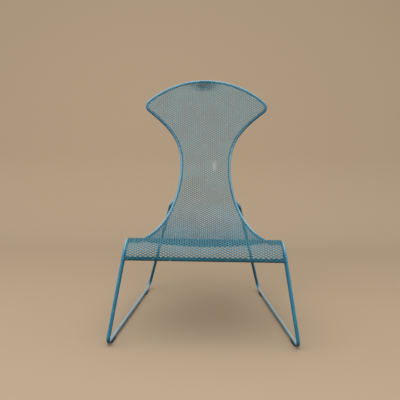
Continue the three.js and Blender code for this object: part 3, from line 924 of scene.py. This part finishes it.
class CHAIR_OT_rods(bpy.types.Operator):
    """Make the two bent rods of the frame and the front bar"""
    bl_idname = "chair.rods"
    bl_label = "Frame rods"

    def execute(self, context):
        settings = context.scene.chair
        form = ChairForm(settings)
        tree = rod_tree()
        colours = settings.colours
        paints = (colours.paint, colours.paint_deep, colours.bleached)
        paint = weathered_enamel(ROD_PAINT, colours, paints, **ROD_WEATHER)
        values = {"Radius": form.radius, "Sides": settings.rods.rod_sides, "Material": paint}
        for hand, side in SIDES.items():
            line, taper = self.round_end(form.rod(side), form.radius)
            soot, seam = form.dirt(side)
            soot += soot[-1:] * (len(line) - len(soot))
            seam += seam[-1:] * (len(line) - len(seam))
            made = make_line(f"{hand}_rod", line, taper=taper, soot=soot, seam=seam)
            run_tree(made, tree, values)
            seat_piece(made, form, PAINT_SLOT, f"{hand}_frame_rod")
        line = form.bar_line()
        soot = [BAR_SHADE] * len(line)
        seam = [Vector(BAR_SHADE_WAY)] * len(line)
        made = make_line("bar", line, taper=[1.0] * len(line), soot=soot, seam=seam)
        run_tree(made, tree, values)
        seat_piece(made, form, PAINT_SLOT, "front_bar")
        return {"FINISHED"}

    @staticmethod
    def round_end(line, radius):
        """The line with points for a round last end, and each point's share of the thickness."""
        end = line[-1]
        back = (line[-2] - end).normalized()
        turns = [math.pi / 2 * i / ROUND_STEPS for i in range(ROUND_STEPS, -1, -1)]
        points = [end + back * radius * (1 - math.cos(turn)) for turn in turns]
        taper = [max(math.sin(turn), END_SHARE) for turn in turns]
        return line[:-1] + points, [1.0] * (len(line) - 1) + taper


class CHAIR_OT_mesh(bpy.types.Operator):
    """Make the expanded-metal sheet of the back, seat and apron"""
    bl_idname = "chair.mesh"
    bl_label = "Expanded mesh"

    def execute(self, context):
        settings = context.scene.chair
        form = ChairForm(settings)
        sizes, colours, sheet = settings.mesh, settings.colours, form.sheet
        paints = (colours.mesh_paint, colours.mesh_deep, colours.mesh_bleached)
        half = [(p.x, sheet.mesh_y(p.y), 0) for p in form.outline]
        loop = half + [(-x, y, z) for x, y, z in reversed(half[1:])]
        made = make_object("expanded_mesh", loop, faces=[list(range(len(loop)))])
        profile = make_line("sheet_profile", sheet.mesh_line)
        widest = max(x for x, y, z in half)
        values = {
            "Profile": profile, "Columns": 2 * math.ceil(widest / sizes.long_way),
            "Rows": math.ceil(sheet.mesh_runs[-1] / sizes.short_way),
            "Long way": sizes.long_way, "Short way": sizes.short_way, "Strand": sizes.strand,
            "Gauge": sizes.gauge, "Rise": sizes.rise, "Sag": settings.shell.seat_sag,
            "Sag from": sheet.mesh_y(-settings.shell.waist_below),
            "Sag to": sheet.mesh_y(sheet.apron + sheet.front_bend - sheet.length),
            "Length": sheet.mesh_runs[-1],
            "Clog": sizes.clog, "Clog middle": (*STAIN_MIDDLE, 0), "Clog size": STAIN_SIZE,
            "Material": weathered_enamel(
                MESH_PAINT, colours, paints, marks=self.marks(form, colours), **MESH_WEATHER)}
        run_tree(made, mesh_tree(), values)
        bpy.data.objects.remove(profile)
        seat_piece(made, form, PAINT_SLOT, "mesh_shell")
        return {"FINISHED"}

    @staticmethod
    def marks(form, colours):
        """The stain under the crest's middle and the smudge on the back."""
        stain = form.shift @ form.sheet.place(*STAIN_MIDDLE)
        smudge = form.shift @ form.sheet.place(*SMUDGE_MIDDLE)
        return [
            (stain, STAIN_SIZE, colours.stain, STAIN_SHARE),
            (smudge, SMUDGE_SIZE, colours.smudge, SMUDGE_SHARE)]


class CHAIR_OT_welds(bpy.types.Operator):
    """Make the welds that join the rods"""
    bl_idname = "chair.welds"
    bl_label = "Welds"

    def execute(self, context):
        settings = context.scene.chair
        form = ChairForm(settings)
        made = make_object("welds", form.weld_drops())
        run_tree(made, weld_tree(), {
            "Drop": settings.rods.bead_size, "Seed": DROP_SEED, "Material": bpy.data.materials[ROD_PAINT]})
        seat_piece(made, form, PAINT_SLOT)
        return {"FINISHED"}


class CHAIR_OT_glides(bpy.types.Operator):
    """Make the four glides under the runners"""
    bl_idname = "chair.glides"
    bl_label = "Glides"

    def execute(self, context):
        settings = context.scene.chair
        form = ChairForm(settings)
        tree = glide_tree()
        rubber = moulded_rubber("matt black rubber", settings.colours)
        points = form.glide_section()
        sides = [(i, (i + 1) % len(points)) for i in range(len(points))]
        section = make_object("glide_section", points, sides)
        for hand, side in SIDES.items():
            for end in ("front", "rear"):
                line = form.glide_line(side, end == "rear")
                made = make_line(f"{end}_{hand}_rubber", line, taper=GLIDE_TAPER)
                run_tree(made, tree, {"Section": section, "Material": rubber})
                seat_piece(made, form, RUBBER_SLOT, f"{end}_{hand}_glide")
        bpy.data.objects.remove(section)
        return {"FINISHED"}


class CHAIR_OT_stage(bpy.types.Operator):
    """Make the backdrop, the lights and the camera"""
    bl_idname = "chair.stage"
    bl_label = "Stage"

    def execute(self, context):
        stage = context.scene.chair.stage
        self.sweep(stage)
        self.lights(context.scene, stage)
        self.camera(context.scene, stage)
        context.scene.view_settings.view_transform = "Standard"
        return {"FINISHED"}

    @staticmethod
    def sweep(stage):
        """A plain paper sweep: floor, wide bend and slope in one sheet."""
        centre = Vector(SWEEP_BEND_CENTRE)
        line = [Vector((-SWEEP_REACH, 0))]
        line += arc(centre, SWEEP_BEND_RADIUS, -math.pi / 2, SWEEP_BEND_END, SWEEP_BEND_STEPS)
        line.append(Vector(SWEEP_TOP))
        points = [(x, p.x, p.y) for p in line for x in (-SWEEP_REACH, SWEEP_REACH)]
        faces = [(2 * i, 2 * i + 1, 2 * i + 3, 2 * i + 2) for i in range(len(line) - 1)]
        made = make_object("sweep", points, faces=faces)
        for face in made.data.polygons:
            face.use_smooth = True
        material, add = new_material("plain backdrop paper")
        shader = add("ShaderNodeBsdfPrincipled", {
            "Base Color": (*stage.backdrop, 1), "Roughness": 0.95, "Specular IOR Level": 0.1})
        add("ShaderNodeOutputMaterial", {"Surface": shader})
        made.data.materials.append(material)

    @staticmethod
    def lights(scene, stage):
        """Soft light from all round and a wide soft light overhead."""
        world = bpy.data.worlds.new("studio")
        world.use_nodes = True
        world.node_tree.nodes.clear()
        add = partial(add_node, world.node_tree)
        sky = add("ShaderNodeBackground", {"Color": (1, 1, 1, 1), "Strength": stage.sky})
        # What is seen of the world, straight or in a shine, has the backdrop's colour
        seen = add("ShaderNodeBackground", {"Color": (*stage.backdrop, 1), "Strength": stage.sky})
        ray = add("ShaderNodeLightPath").outputs
        share = ray["Is Camera Ray"]
        for kind in ("Is Glossy Ray", "Is Transmission Ray"):
            share = add("ShaderNodeMath", {0: share, 1: ray[kind]}, operation="MAXIMUM").outputs[0]
        both = add("ShaderNodeMixShader", {0: share, 1: sky, 2: seen})
        add("ShaderNodeOutputWorld", {"Surface": both})
        scene.world = world
        key = bpy.data.lights.new("key", "AREA")
        key.shape = "RECTANGLE"
        key.size, key.size_y = KEY_SIZE
        key.energy = stage.key
        lamp = bpy.data.objects.new("key", key)
        scene.collection.objects.link(lamp)
        lamp.location = KEY_PLACE
        lamp.rotation_euler = (Vector(KEY_AIM) - lamp.location).to_track_quat("-Z", "Y").to_euler()

    @staticmethod
    def camera(scene, stage):
        """A camera that looks at the chair from the picture's place."""
        lens = bpy.data.cameras.new("camera")
        lens.sensor_width = 36.0
        lens.lens = stage.focal_pixels * lens.sensor_width / IMAGE_PIXELS
        camera = bpy.data.objects.new("camera", lens)
        scene.collection.objects.link(camera)
        look = Euler((math.pi / 2 - stage.pitch, 0, -stage.yaw)).to_matrix()
        turn = look @ Matrix.Rotation(-stage.roll, 3, "Z")
        camera.matrix_world = Matrix.Translation(stage.camera) @ turn.to_4x4()
        scene.camera = camera


class CHAIR_PT_panel(bpy.types.Panel):
    """Lists the chair's pieces"""
    bl_idname = "CHAIR_PT_panel"
    bl_label = "Lounge chair"
    bl_space_type = "VIEW_3D"
    bl_region_type = "UI"
    bl_category = "Chair"

    def draw(self, context):
        for operator in OPERATORS:
            self.layout.operator(operator.bl_idname)
        settings = context.scene.chair
        for group in ("shell", "rods", "mesh", "glides", "colours", "stage"):
            box = self.layout.box()
            box.label(text=group.capitalize())
            for name in getattr(settings, group).__annotations__:
                box.prop(getattr(settings, group), name)


GROUPS = (ShellSizes, FrameSizes, MeshSizes, GlideSizes, ChairColours, StageSettings, ChairSettings)
OPERATORS = (CHAIR_OT_rods, CHAIR_OT_mesh, CHAIR_OT_welds, CHAIR_OT_glides, CHAIR_OT_stage)
CLASSES = (*GROUPS, *OPERATORS, CHAIR_PT_panel)


def register():
    """Registers the classes and the chair's settings."""
    for cls in CLASSES:
        bpy.utils.register_class(cls)
    bpy.types.Scene.chair = PointerProperty(type=ChairSettings)


def unregister():
    """Removes what register() added."""
    del bpy.types.Scene.chair
    for cls in reversed(CLASSES):
        bpy.utils.unregister_class(cls)


def main():
    """Makes the chair and its stage."""
    register()
    bpy.ops.chair.rods()
    bpy.ops.chair.mesh()
    bpy.ops.chair.welds()
    bpy.ops.chair.glides()
    bpy.ops.chair.stage()


if __name__ == "__main__":
    main()
